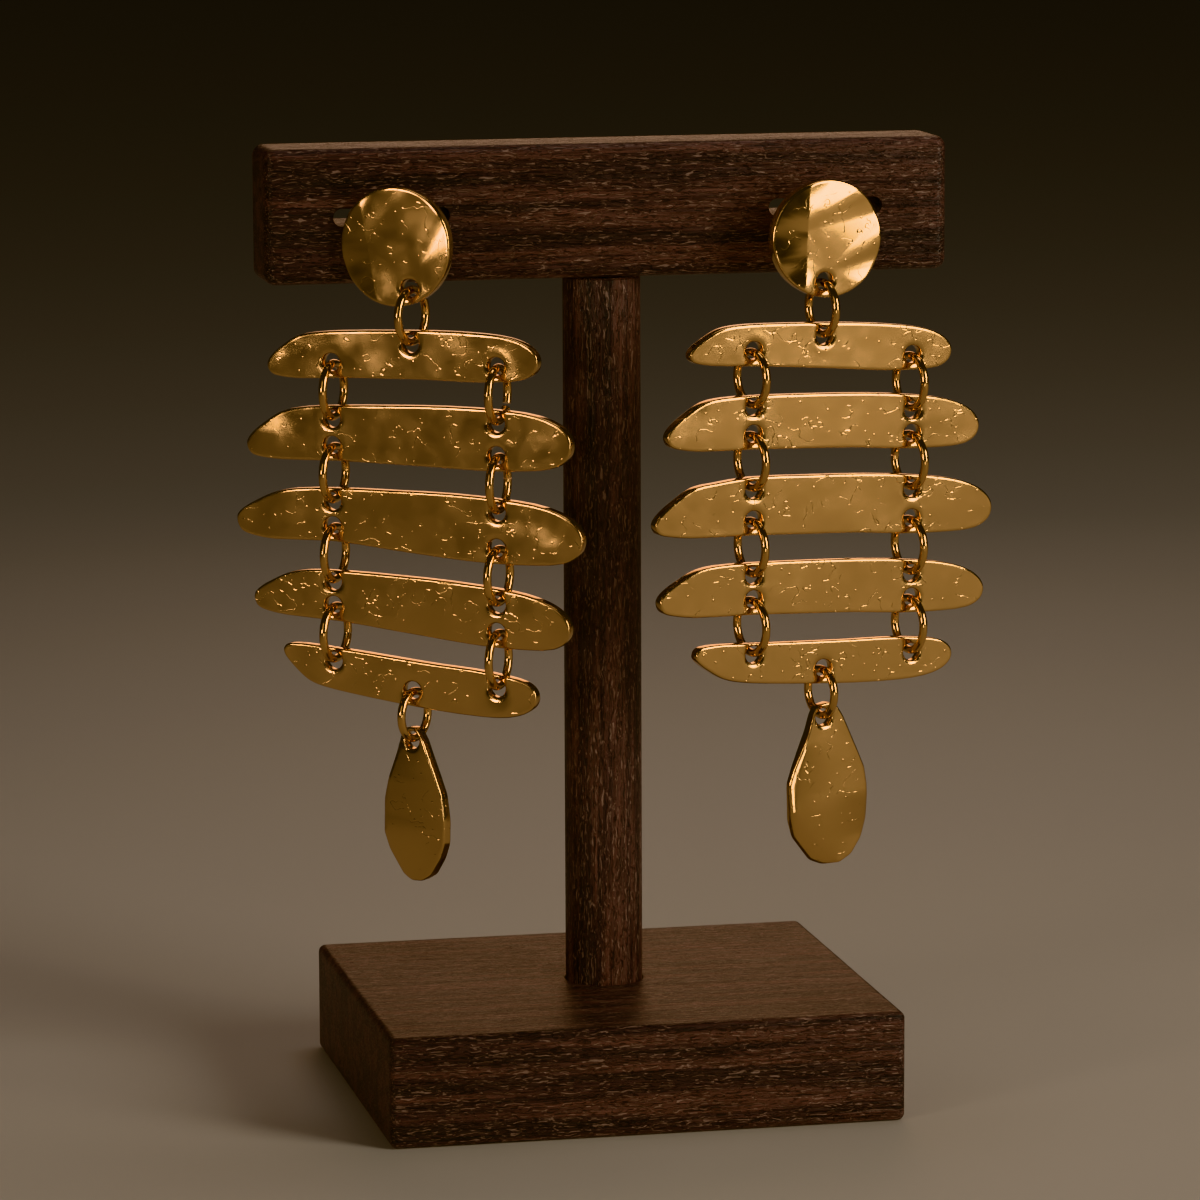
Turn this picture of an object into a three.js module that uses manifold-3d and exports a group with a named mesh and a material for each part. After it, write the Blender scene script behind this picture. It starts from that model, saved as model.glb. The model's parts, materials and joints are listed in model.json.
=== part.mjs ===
// A pair of chandelier earrings in gold-plated brass on a small T stand of dark wood.
// Each earring is a round stud plate, a ladder of five hand-cut bars linked by jump rings,
// and a pear-shaped drop. The left and right earring are the ones at the viewer's left and right.
//
// Millimetres, +Z up. The origin is on the underside of the base, at its centre, and the
// stand's front faces -Y.

import * as THREE from "three";
import { RoundedBoxGeometry } from "three/addons/geometries/RoundedBoxGeometry.js";
import { mergeVertices } from "three/addons/utils/BufferGeometryUtils.js";
import Module from "manifold-3d";

const wasm = await Module();
wasm.setup();

// Stand
const BASE_WIDTH = 70;
const BASE_DEPTH = 59;
const BASE_HEIGHT = 15;
const BASE_EDGE = 1; // radius of its rounded edges
const POST_DIAMETER = 10.5;
const POST_SEAT = 8; // how deep the post's foot goes into the base
const TENON_DIAMETER = 6; // the thinner end that goes into the crossbar
const TENON_LENGTH = 7;
const CROSSBAR_HEIGHT = 18;
const CROSSBAR_DEPTH = 12;
const CROSSBAR_EDGE = 1.5;
const CROSSBAR_END = 9.1; // wood beyond each slot
const GLUE_GAP = 0.2; // between a dowel and its hole
const SLOT_HEIGHT = 2.4; // the slots through the crossbar that the ear posts lie in
const SLOT_RISE = 8.9; // from the crossbar's underside to the middle of a slot
const SLOT_END_PLAY = 1.2;
const SLOT_SPACING = 59.2;
const DROP_CLEARANCE = 16.9; // between the longer earring and the base

// Earrings
const WIRE = 1.1; // jump ring wire
const TOP_RING = 8; // outer diameters
const SIDE_RING = 8.2;
const DROP_RING = 7.4;
const RING_GAP = 0.3; // between a ring and the edges it hangs on
const HOLE_PLAY = 0.65; // between the wire and the wall of its hole, all round
const UPPER_RIM = 0.6; // metal between a bar's or drop's upper holes and its edge
const LOWER_RIM = 0.9;
const STUD_RIM = 1;
const PLATE = 1.6; // thickness of the studs, bars and drops
const BAR_REACH = 20; // a middling bar's length to each side of the hanging line
const BAR_RISE = 5; // a tall bar's height above and below its own axis
const STUD_DIAMETER = 15.8;
const STUD_PLAY = 0.55; // between the stud plate's edge and the crossbar
const EAR_POST_DIAMETER = 0.9;
const EAR_POST_LENGTH = 11;
const EAR_POST_PLAY = 0.15; // under an ear post as it lies in its slot

// Number of straight sides
const RING_SIDES = 16;
const WIRE_SIDES = 6;
const HOLE_SIDES = 12;
const EAR_POST_SIDES = 10;
const STUD_SIDES = 40;
const POST_SIDES = 32;
const CORNER_STEPS = 3;
const STEPS_PER_STATION = 2;

const HOLE_DIAMETER = WIRE + 2 * HOLE_PLAY;

// Each bar: its length to the left and right of the hanging line as shares of the reach, and its
// height above and below its own axis as shares of the rise. Then shares of those heights: where
// the pointed end lies, how deep the level edge runs at the waist and near the tip, and how full
// the sloping edge is at its shoulder.
const LEFT_BARS = [
  { left: 1.04, right: 0.91, up: 0.67, down: 0.67, tip: -0.4, waist: 0.94, heel: 1, shoulder: 1 },
  { left: 1.2, right: 1.14, up: 0.82, down: 0.86, tip: -0.35, waist: 0.84, heel: 0.85, shoulder: 1 },
  { left: 1.28, right: 1.22, up: 0.9, down: 0.87, tip: -0.1, waist: 0.68, heel: 0.75, shoulder: 1 },
  { left: 1.16, right: 1.13, up: 0.84, down: 0.78, tip: -0.15, waist: 0.75, heel: 0.75, shoulder: 1 },
  { left: 0.96, right: 0.89, up: 0.62, down: 0.65, tip: -0.4, waist: 0.9, heel: 0.85, shoulder: 1 },
];
const RIGHT_BARS = [
  { left: 1.01, right: 0.98, up: 0.65, down: 0.64, tip: -0.35, waist: 0.84, heel: 0.84, shoulder: 1 },
  { left: 1.18, right: 1.2, up: 0.8, down: 0.72, tip: -0.45, waist: 0.98, heel: 1.05, shoulder: 1 },
  { left: 1.27, right: 1.3, up: 0.86, down: 0.79, tip: -0.55, waist: 0.98, heel: 1.05, shoulder: 0.88 },
  { left: 1.24, right: 1.24, up: 0.79, down: 0.71, tip: -0.35, waist: 0.95, heel: 1.02, shoulder: 1 },
  { left: 0.98, right: 0.99, up: 0.59, down: 0.64, tip: -0.25, waist: 0.87, heel: 0.85, shoulder: 1 },
];

// The sloping edge of a bar from its shoulder to its blunt end, as shares of its length and height.
const SLOPING_EDGE = [
  { along: 0.11, out: 0.68 },
  { along: 0.17, out: 0.84 },
  { along: 0.28, out: 0.93 },
  { along: 0.45, out: 0.98 },
  { along: 0.62, out: 1 },
  { along: 0.8, out: 0.92 },
  { along: 0.9, out: 0.76 },
  { along: 0.96, out: 0.5 },
  { along: 0.99, out: 0.2 },
];
const SHOULDER_ROWS = 2; // the first rows, which a bar's shoulder share scales
// Between the tip and that shoulder, the edge climbs by these shares of the way.
const TIP_SLOPE = [
  { along: 0.02, climb: 0.32 },
  { along: 0.06, climb: 0.66 },
];
// The level edge from the blunt end back to where the waist begins.
const LEVEL_EDGE = [
  { along: 1, out: 0.1 },
  { along: 0.992, out: 0.5 },
  { along: 0.955, out: 0.82 },
  { along: 0.87, out: 0.96 },
  { along: 0.74, out: 1 },
  { along: 0.6, out: 0.94 },
];
const WAIST_AT = 0.28;
const HEEL_AT = 0.11;
const TIP_HEEL = [
  { along: 0.045, share: 0.87 },
  { along: 0.012, share: 0.66 },
];

// The drop's outline, hand cut in straight strokes, as shares of its width to each side of the
// hole and of its height below its top.
const DROP_OUTLINE = [
  { across: 0.03, down: 0 },
  { across: -0.1, down: 0.015 },
  { across: -0.16, down: 0.06 },
  { across: -0.22, down: 0.17 },
  { across: -0.39, down: 0.39 },
  { across: -0.45, down: 0.49 },
  { across: -0.44, down: 0.71 },
  { across: -0.38, down: 0.82 },
  { across: -0.16, down: 0.97 },
  { across: -0.02, down: 1 },
  { across: 0.18, down: 0.995 },
  { across: 0.33, down: 0.95 },
  { across: 0.47, down: 0.84 },
  { across: 0.54, down: 0.74 },
  { across: 0.55, down: 0.59 },
  { across: 0.5, down: 0.42 },
  { across: 0.4, down: 0.3 },
  { across: 0.21, down: 0.08 },
  { across: 0.12, down: 0.01 },
];

// Each earring: which slot it hangs in and how far from the slot's middle, how far it is turned
// and how high its ear post is soldered above the stud's centre. Then where its hanging line
// lies from that centre and its two columns of rings from the line, how its rings twist and its
// bars tilt, and its drop's size, how far the drop's outline lies to one side of its hole, and
// the drop's turn. Turns, twists and tilts are in degrees.
const EARRINGS = [
  {
    side: "left",
    slot: -1,
    alongSlot: -0.4,
    turn: -34,
    postRise: 2.8,
    hangLine: 2.1,
    columns: [-11.5, 12.2],
    topTwist: -8,
    twists: [1, 2, -1, 3, 0, -2, -3, 1],
    dropTwist: -10,
    bars: LEFT_BARS,
    tilts: [1.1, 0.9, -1, -3.2, -6],
    drop: { width: 10.5, height: 20.9, aside: -0.35, turn: -14 },
  },
  {
    side: "right",
    slot: 1,
    alongSlot: -1.3,
    turn: 14,
    postRise: 3.15,
    hangLine: -0.6,
    columns: [-10.6, 13.6],
    topTwist: 4,
    twists: [6, 4, 5, 6, 4, 5, 6, 4],
    dropTwist: 6,
    bars: RIGHT_BARS,
    tilts: [-3.3, -3.1, -3.1, -3.1, -3.1],
    drop: { width: 12.2, height: 22.4, aside: 0.4, turn: 3 },
  },
];

const WOOD = new THREE.MeshStandardMaterial({ color: 0x3a241b, roughness: 0.55, metalness: 0 });
const GOLD = new THREE.MeshStandardMaterial({ color: 0xd0a052, roughness: 0.18, metalness: 1 });
const GOLD_WIRE = new THREE.MeshStandardMaterial({ color: 0xd09a48, roughness: 0.12, metalness: 1 });

const radians = THREE.MathUtils.degToRad;

// The studs stand off the crossbar far enough for a turned plate's edge to clear it.
const mostTurned = Math.max(...EARRINGS.map(({ turn }) => Math.abs(radians(turn))));
const standOff =
  (STUD_DIAMETER / 2) * Math.sin(mostTurned) + (PLATE / 2) * Math.cos(mostTurned) + STUD_PLAY;

// An ear post's length from the middle of its stud's thickness.
const POST_RUN = EAR_POST_LENGTH + PLATE / 2;

function solidOf(geometry) {
  const bare = geometry.clone();
  bare.deleteAttribute("normal");
  bare.deleteAttribute("uv");
  const merged = mergeVertices(bare, 1e-4);
  return new wasm.Manifold(
    new wasm.Mesh({
      numProp: 3,
      vertProperties: merged.attributes.position.array,
      triVerts: new Uint32Array(merged.index.array),
    }),
  );
}

function geometryOf(solid) {
  const mesh = solid.getMesh();
  const indexed = new THREE.BufferGeometry()
    .setAttribute("position", new THREE.BufferAttribute(mesh.vertProperties, 3))
    .setIndex(new THREE.BufferAttribute(mesh.triVerts, 1));
  const geometry = indexed.toNonIndexed();
  geometry.computeVertexNormals();
  return geometry;
}

function named(name, geometry, material) {
  const mesh = new THREE.Mesh(geometry, material);
  mesh.name = name;
  return mesh;
}

function roundEndedShape(length, height) {
  const radius = height / 2;
  const straight = length / 2 - radius;
  return new THREE.Shape()
    .absarc(straight, 0, radius, -Math.PI / 2, Math.PI / 2)
    .absarc(-straight, 0, radius, Math.PI / 2, 1.5 * Math.PI);
}

function uprightCylinder(diameter, from, to, sides) {
  return new THREE.CylinderGeometry(diameter / 2, diameter / 2, to - from, sides)
    .rotateX(Math.PI / 2)
    .translate(0, 0, (from + to) / 2);
}

function makeBase() {
  const block = new RoundedBoxGeometry(BASE_WIDTH, BASE_DEPTH, BASE_HEIGHT, CORNER_STEPS, BASE_EDGE);
  block.translate(0, 0, BASE_HEIGHT / 2);
  const seatFloor = BASE_HEIGHT - POST_SEAT;
  const bore = uprightCylinder(POST_DIAMETER + 2 * GLUE_GAP, seatFloor, BASE_HEIGHT + 1, POST_SIDES);
  return named("stand_base", geometryOf(solidOf(block).subtract(solidOf(bore))), WOOD);
}

function makePost(crossbarUnderside) {
  const foot = BASE_HEIGHT - POST_SEAT + GLUE_GAP;
  const shoulder = crossbarUnderside - GLUE_GAP;
  const tenonTop = crossbarUnderside + TENON_LENGTH - GLUE_GAP;
  const profile = [
    [0, foot],
    [POST_DIAMETER / 2, foot],
    [POST_DIAMETER / 2, shoulder],
    [TENON_DIAMETER / 2, shoulder],
    [TENON_DIAMETER / 2, tenonTop],
    [0, tenonTop],
  ].map(([r, z]) => new THREE.Vector2(r, z));
  return named("stand_post", new THREE.LatheGeometry(profile, POST_SIDES).rotateX(Math.PI / 2), WOOD);
}

// The farthest that an earring's post gets from the middle of its slot.
function postReach({ turn, alongSlot }) {
  const run = POST_RUN * Math.sin(radians(-turn));
  return Math.max(Math.abs(alongSlot), Math.abs(alongSlot + run));
}

function makeCrossbar(underside) {
  const slotLength = 2 * Math.max(...EARRINGS.map(postReach)) + EAR_POST_DIAMETER + 2 * SLOT_END_PLAY;
  const length = SLOT_SPACING + slotLength + 2 * CROSSBAR_END;
  const size = [length, CROSSBAR_DEPTH, CROSSBAR_HEIGHT];
  const block = new RoundedBoxGeometry(...size, CORNER_STEPS, CROSSBAR_EDGE);
  block.translate(0, 0, underside + CROSSBAR_HEIGHT / 2);
  const mortiseDiameter = TENON_DIAMETER + 2 * GLUE_GAP;
  const mortise = uprightCylinder(mortiseDiameter, underside - 1, underside + TENON_LENGTH, POST_SIDES);
  const slot = new THREE.ExtrudeGeometry(roundEndedShape(slotLength, SLOT_HEIGHT), {
    depth: CROSSBAR_DEPTH + 2,
    curveSegments: 2 * CORNER_STEPS,
    bevelEnabled: false,
  });
  slot.rotateX(Math.PI / 2).translate(0, CROSSBAR_DEPTH / 2 + 1, underside + SLOT_RISE);
  const solid = [-1, 1].reduce(
    (wood, side) => wood.subtract(solidOf(slot.clone().translate((side * SLOT_SPACING) / 2, 0, 0))),
    solidOf(block).subtract(solidOf(mortise)),
  );
  return named("stand_crossbar", geometryOf(solid), WOOD);
}

function circle([x, z], diameter, sides) {
  return Array.from({ length: sides }, (_, i) => {
    const angle = (2 * Math.PI * (i + 0.5)) / sides;
    return new THREE.Vector2(x + (diameter / 2) * Math.cos(angle), z + (diameter / 2) * Math.sin(angle));
  });
}

// A flat plate from an outline in X and Z and the middles of its holes, centred on Y = 0.
function plate(outline, holes) {
  const clockwise = THREE.ShapeUtils.isClockWise(outline);
  const shape = new THREE.Shape(clockwise ? outline.toReversed() : outline);
  shape.holes = holes.map((hole) => new THREE.Path(circle(hole, HOLE_DIAMETER, HOLE_SIDES).reverse()));
  return new THREE.ExtrudeGeometry(shape, { depth: PLATE, bevelEnabled: false })
    .rotateX(Math.PI / 2)
    .translate(0, PLATE / 2, 0);
}

// A bar's outline on its hanging line. A flipped bar has its sloping edge below.
function barOutline(bar, flipped) {
  const length = (bar.left + bar.right) * BAR_REACH;
  const [slope, level] = flipped ? [bar.down, bar.up] : [bar.up, bar.down];
  const slopeHeight = slope * BAR_RISE;
  const levelHeight = level * BAR_RISE;
  const side = flipped ? -1 : 1;
  const tip = bar.tip * slopeHeight;
  const sloping = SLOPING_EDGE.map(({ along, out }, i) => {
    const fullness = i < SHOULDER_ROWS ? bar.shoulder : 1;
    return [along, out * fullness * slopeHeight];
  });
  const shoulder = sloping[0][1];
  const stations = [
    [0, tip],
    ...TIP_SLOPE.map(({ along, climb }) => [along, tip + climb * (shoulder - tip)]),
    ...sloping,
    ...LEVEL_EDGE.map(({ along, out }) => [along, -out * levelHeight]),
    [(LEVEL_EDGE.at(-1).along + WAIST_AT) / 2, (-(LEVEL_EDGE.at(-1).out + bar.waist) / 2) * levelHeight],
    [WAIST_AT, -bar.waist * levelHeight],
    [HEEL_AT, -bar.heel * levelHeight],
    ...TIP_HEEL.map(({ along, share }) => [along, tip + share * (-bar.heel * levelHeight - tip)]),
  ];
  const leftEnd = -bar.left * BAR_REACH;
  const points = stations.map(([along, z]) => new THREE.Vector3(leftEnd + along * length, side * z, 0));
  const curve = new THREE.CatmullRomCurve3(points, true, "centripetal");
  const outline = curve.getPoints(points.length * STEPS_PER_STATION).slice(0, -1);
  return outline.map(({ x, y }) => new THREE.Vector2(x, y));
}

// The heights at which the outline crosses the upright line at x.
function edgesAt(outline, x) {
  const crossings = [];
  outline.forEach((a, i) => {
    const b = outline[(i + 1) % outline.length];
    if ((a.x - x) * (b.x - x) <= 0 && a.x !== b.x) {
      crossings.push(a.y + ((b.y - a.y) * (x - a.x)) / (b.x - a.x));
    }
  });
  return { top: Math.max(...crossings), bottom: Math.min(...crossings) };
}

const upperHole = (outline, x) => [x, edgesAt(outline, x).top - UPPER_RIM - HOLE_DIAMETER / 2];
const lowerHole = (outline, x) => [x, edgesAt(outline, x).bottom + LOWER_RIM + HOLE_DIAMETER / 2];

// Where a point of a bar comes once the bar is tilted and lifted.
const placed = ([x, z], tilt, lift) => [
  x * Math.cos(tilt) - z * Math.sin(tilt),
  x * Math.sin(tilt) + z * Math.cos(tilt) + lift,
];

// The point of a bar that comes to a given place.
const drilledFor = ([x, z], tilt, lift) => placed([x, z - lift], -tilt, 0);

// A ring hangs clear of both edges of the hole it goes through.
const holeToRing = (outer) =>
  HOLE_DIAMETER / 2 + Math.sqrt((outer / 2 - WIRE - RING_GAP) ** 2 - (PLATE / 2) ** 2);

// How far apart the two holes are that a ring joins.
const hang = (outer) => 2 * holeToRing(outer);

// A jump ring between an upper and a lower hole.
function makeRing(name, outer, [x1, z1], [x2, z2], twist) {
  const torus = new THREE.TorusGeometry((outer - WIRE) / 2, WIRE / 2, WIRE_SIDES, RING_SIDES);
  const ring = named(name, torus.rotateY(Math.PI / 2), GOLD_WIRE);
  ring.position.set((x1 + x2) / 2, 0, (z1 + z2) / 2);
  ring.rotation.order = "YZX";
  ring.rotation.y = Math.atan2(x1 - x2, z1 - z2);
  ring.rotation.z = radians(twist);
  return ring;
}

// The stud: a round plate with its ear post soldered to the back.
function makeStud(name, centre, hole) {
  const face = solidOf(plate(circle(centre, STUD_DIAMETER, STUD_SIDES), [hole]));
  const length = PLATE / 2 + EAR_POST_LENGTH;
  const radius = EAR_POST_DIAMETER / 2;
  const post = new THREE.CylinderGeometry(radius, radius, length, EAR_POST_SIDES);
  post.translate(0, length / 2, 0);
  return named(name, geometryOf(face.add(solidOf(post))), GOLD);
}

// The bars, each hung from the one above, with their rings. The lowest bar is flipped. A bar's
// upper holes are drilled where its rings hang plumb. Gives the pieces and the hole that the
// drop's ring goes through.
function makeLadder({ side, bars, tilts, columns, hangLine, topTwist, twists }, studHole) {
  const pieces = [];
  const columnPlaces = columns.map((x) => hangLine + x);
  let above = [studHole]; // the lower holes of the bar above
  bars.forEach((bar, i) => {
    const isFirst = i === 0;
    const isLast = i === bars.length - 1;
    const outer = isFirst ? TOP_RING : SIDE_RING;
    const tilt = radians(tilts[i]);
    const outline = barOutline(bar, isLast).map(({ x, y }) => new THREE.Vector2(x + hangLine, y));
    const hung = above.map(([x, z]) => [x, z - hang(outer)]);
    const lifts = hung.map(([x, z]) => z - placed(upperHole(outline, x), tilt, 0)[1]);
    const lift = lifts.reduce((sum, each) => sum + each, 0) / lifts.length;
    const uppers = hung.map((place) => drilledFor(place, tilt, lift));
    const lowers = (isLast ? [hangLine] : columnPlaces).map((x) => lowerHole(outline, x));
    const mesh = named(`${side}_bar_${i + 1}`, plate(outline, [...uppers, ...lowers]), GOLD);
    mesh.position.z = lift;
    mesh.rotation.y = -tilt;
    pieces.push(mesh);
    if (isFirst) {
      pieces.push(makeRing(`${side}_ring_top`, outer, studHole, hung[0], topTwist));
    } else {
      ["left", "right"].forEach((column, c) => {
        const twist = twists[2 * (i - 1) + c];
        pieces.push(makeRing(`${side}_ring_${i}_${column}`, outer, above[c], hung[c], twist));
      });
    }
    above = lowers.map((hole) => placed(hole, tilt, lift));
  });
  return { pieces, lastHole: above[0] };
}

function makeDrop({ side, drop, dropTwist }, lastHole) {
  const outline = DROP_OUTLINE.map(
    ({ across, down }) => new THREE.Vector2(across * drop.width + drop.aside, -down * drop.height),
  );
  const hole = upperHole(outline, 0);
  const mesh = named(`${side}_drop`, plate(outline, [hole]), GOLD);
  const place = [lastHole[0], lastHole[1] - hang(DROP_RING)];
  mesh.position.set(place[0], 0, place[1] - hole[1]);
  mesh.rotation.z = radians(drop.turn);
  return [makeRing(`${side}_ring_drop`, DROP_RING, lastHole, place, dropTwist), mesh];
}

// An earring, upright, with its ear post along Y through the origin.
function makeEarring(earring) {
  const centre = [0, -earring.postRise];
  const drop = Math.sqrt((STUD_DIAMETER / 2) ** 2 - earring.hangLine ** 2);
  const studHole = [earring.hangLine, centre[1] - drop + STUD_RIM + HOLE_DIAMETER / 2];
  const { pieces, lastHole } = makeLadder(earring, studHole);
  const stud = makeStud(`${earring.side}_stud`, centre, studHole);
  return new THREE.Group().add(stud, ...pieces, ...makeDrop(earring, lastHole));
}

// The stand is as tall as the longer earring needs.
const earrings = EARRINGS.map(makeEarring);
const longest = Math.max(...earrings.map((earring) => -new THREE.Box3().setFromObject(earring).min.z));
const earPostHeight = BASE_HEIGHT + DROP_CLEARANCE + longest;
const slotFloor = earPostHeight - EAR_POST_DIAMETER / 2 - EAR_POST_PLAY;
const crossbarUnderside = slotFloor + SLOT_HEIGHT / 2 - SLOT_RISE;

earrings.forEach((earring, i) => {
  const { slot, alongSlot, turn } = EARRINGS[i];
  const x = (slot * SLOT_SPACING) / 2 + alongSlot;
  earring.position.set(x, -CROSSBAR_DEPTH / 2 - standOff, earPostHeight);
  earring.rotation.z = radians(turn);
});

export default new THREE.Group().add(
  makeBase(),
  makePost(crossbarUnderside),
  makeCrossbar(crossbarUnderside),
  ...earrings,
);
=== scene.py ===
# %% [markdown]
# A pair of chandelier earrings on a T stand of dark wood. Each earring is a round stud, a ladder
# of hammered bars linked by jump rings, and a pear-shaped drop, all in gold-plated brass.
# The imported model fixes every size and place. This script reads it, makes each piece again with
# a finer surface in the same place, and gives it the finish of the real material.

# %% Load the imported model
import json
import math

import bmesh
import bpy
import numpy as np
from mathutils import Matrix, Vector
from mathutils.geometry import delaunay_2d_cdt

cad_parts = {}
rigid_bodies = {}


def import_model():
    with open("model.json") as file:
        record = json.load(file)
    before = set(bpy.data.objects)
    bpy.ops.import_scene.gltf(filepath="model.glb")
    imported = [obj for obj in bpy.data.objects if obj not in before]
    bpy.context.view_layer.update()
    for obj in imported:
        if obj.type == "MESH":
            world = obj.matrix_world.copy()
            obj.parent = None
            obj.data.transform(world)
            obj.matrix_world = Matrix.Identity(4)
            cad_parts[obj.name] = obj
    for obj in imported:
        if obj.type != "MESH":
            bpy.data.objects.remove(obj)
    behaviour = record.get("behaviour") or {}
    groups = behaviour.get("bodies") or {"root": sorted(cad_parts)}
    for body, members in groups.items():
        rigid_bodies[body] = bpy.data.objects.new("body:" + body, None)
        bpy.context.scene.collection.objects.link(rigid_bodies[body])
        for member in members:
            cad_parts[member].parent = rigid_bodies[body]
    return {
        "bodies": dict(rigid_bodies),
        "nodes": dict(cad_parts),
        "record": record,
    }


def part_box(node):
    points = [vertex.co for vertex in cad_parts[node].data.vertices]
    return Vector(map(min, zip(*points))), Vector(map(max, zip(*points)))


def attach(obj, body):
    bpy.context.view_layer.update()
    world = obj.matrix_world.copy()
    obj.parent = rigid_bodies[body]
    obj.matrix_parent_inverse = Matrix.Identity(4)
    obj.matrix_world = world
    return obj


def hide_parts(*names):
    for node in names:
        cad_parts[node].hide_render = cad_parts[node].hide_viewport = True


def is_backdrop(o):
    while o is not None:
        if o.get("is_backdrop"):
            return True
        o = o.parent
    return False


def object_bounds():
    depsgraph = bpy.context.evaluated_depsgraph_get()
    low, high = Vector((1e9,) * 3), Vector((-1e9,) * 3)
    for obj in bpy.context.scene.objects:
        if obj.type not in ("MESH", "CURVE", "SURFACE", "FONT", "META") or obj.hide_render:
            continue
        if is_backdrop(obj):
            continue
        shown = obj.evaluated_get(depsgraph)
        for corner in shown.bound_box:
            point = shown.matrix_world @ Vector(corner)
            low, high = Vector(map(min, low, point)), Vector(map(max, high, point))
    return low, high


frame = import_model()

MM = 0.001
UP = Vector((0, 0, 1))
nodes = frame["nodes"]
cad_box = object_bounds()
BODY_OF = {node: name for name, parts in frame["record"]["behaviour"]["bodies"].items() for node in parts}
print("nodes:", len(nodes), "box in mm:", [[round(v / MM, 1) for v in corner] for corner in cad_box])

# %% [markdown]
# The camera comes first, because it decides how everything else is judged. A jewellery photo is
# taken with a long lens from some way off, so the stand's edges stay nearly parallel. The camera
# stands to the left of the stand and looks a little down on it.

# %% Camera
LENS = 172.2  # mm on a 36 mm wide sensor, a view of about 12 degrees
EYE = Vector((-161.0, -753.2, 192.9)) * MM
TURN_LEFT = 12.04  # degrees from straight ahead
LOOK_DOWN = 9.25
ROLL = -0.23

camera = bpy.data.objects.new("camera", bpy.data.cameras.new("camera"))
camera.data.lens = LENS
camera.data.sensor_width = 36
turned = Matrix.Rotation(-math.radians(TURN_LEFT), 4, "Z")
tipped = Matrix.Rotation(math.radians(90 - LOOK_DOWN), 4, "X")
rolled_over = Matrix.Rotation(math.radians(ROLL), 4, "Z")
camera.matrix_world = Matrix.Translation(EYE) @ turned @ tipped @ rolled_over
bpy.context.scene.collection.objects.link(camera)
bpy.context.scene.camera = camera
print("camera at", [round(v / MM) for v in EYE], "mm")

# %% [markdown]
# Every material is a small tree of shader nodes. Two helpers keep the trees readable. One turns
# a colour as a screen shows it into the linear value that a shader works with. The other adds
# any node, with its settings and with what feeds its sockets, in one call.

# %% Helpers for materials
def linear(hex_colour):
    """The linear RGBA of an sRGB colour such as #AABBCC."""
    shares = [int(hex_colour[i : i + 2], 16) / 255 for i in (1, 3, 5)]
    return [c / 12.92 if c <= 0.04045 else ((c + 0.055) / 1.055) ** 2.4 for c in shares] + [1.0]


def add(tree, kind, feeds=None, **settings):
    """Adds a node. feeds gives a value or another node's output for each named or numbered input."""
    node = tree.nodes.new(kind)
    for name, value in settings.items():
        setattr(node, name, value)
    for socket, value in (feeds or {}).items():
        if isinstance(value, bpy.types.NodeSocket):
            tree.links.new(value, node.inputs[socket])
        else:
            node.inputs[socket].default_value = value
    return node


def ramp(tree, value, stops):
    """A colour ramp through (place, colour) stops."""
    node = add(tree, "ShaderNodeValToRGB", {"Fac": value})
    elements = node.color_ramp.elements
    while len(elements) < len(stops):
        elements.new(0.5)
    for element, (place, colour) in zip(elements, stops):
        element.position = place
        element.color = colour
    return node.outputs["Color"]


def new_material(name):
    """An empty material with its shader, and the coordinates that every pattern starts from."""
    material = bpy.data.materials.new(name)
    material.use_nodes = True
    tree = material.node_tree
    shader = tree.nodes["Principled BSDF"]
    place = add(tree, "ShaderNodeTexCoord").outputs["Object"]
    return material, tree, shader, place


def grey(value):
    return (value, value, value, 1)


# %% [markdown]
# The stand is wenge, an open-pored tropical hardwood that is nearly black-brown, planed, sanded
# and oiled. Its look has five layers, each a noise stretched along the grain: broad dark and
# reddish bands, fine fibres, short pores drawn as thin pale dashes, which are partly the pores'
# paler filling and partly a painted highlight for the light that they catch, dark checks
# between them, and a satin oil. All are drawn in the solid's own space, so they run round the
# corners and show as dots on the end grain, as in a real block.

# %% Wenge
BAND_WIDTH = 2.2  # mm across the grain
BAND_LENGTH = 70
FIBRE_WIDTH = 0.32
FIBRE_LENGTH = 9
PORE_WIDTH = 0.2  # drawn a little wider than the real 0.15 mm, or it would be lost in the render
PORE_LENGTH = 2.0
WANDER = 0.4  # how far a pore strays sideways
WANDER_WIDTH = 1.1  # and how soon it strays back
WANDER_LENGTH = 2.2
WOOD_RELIEF = 0.25


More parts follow.
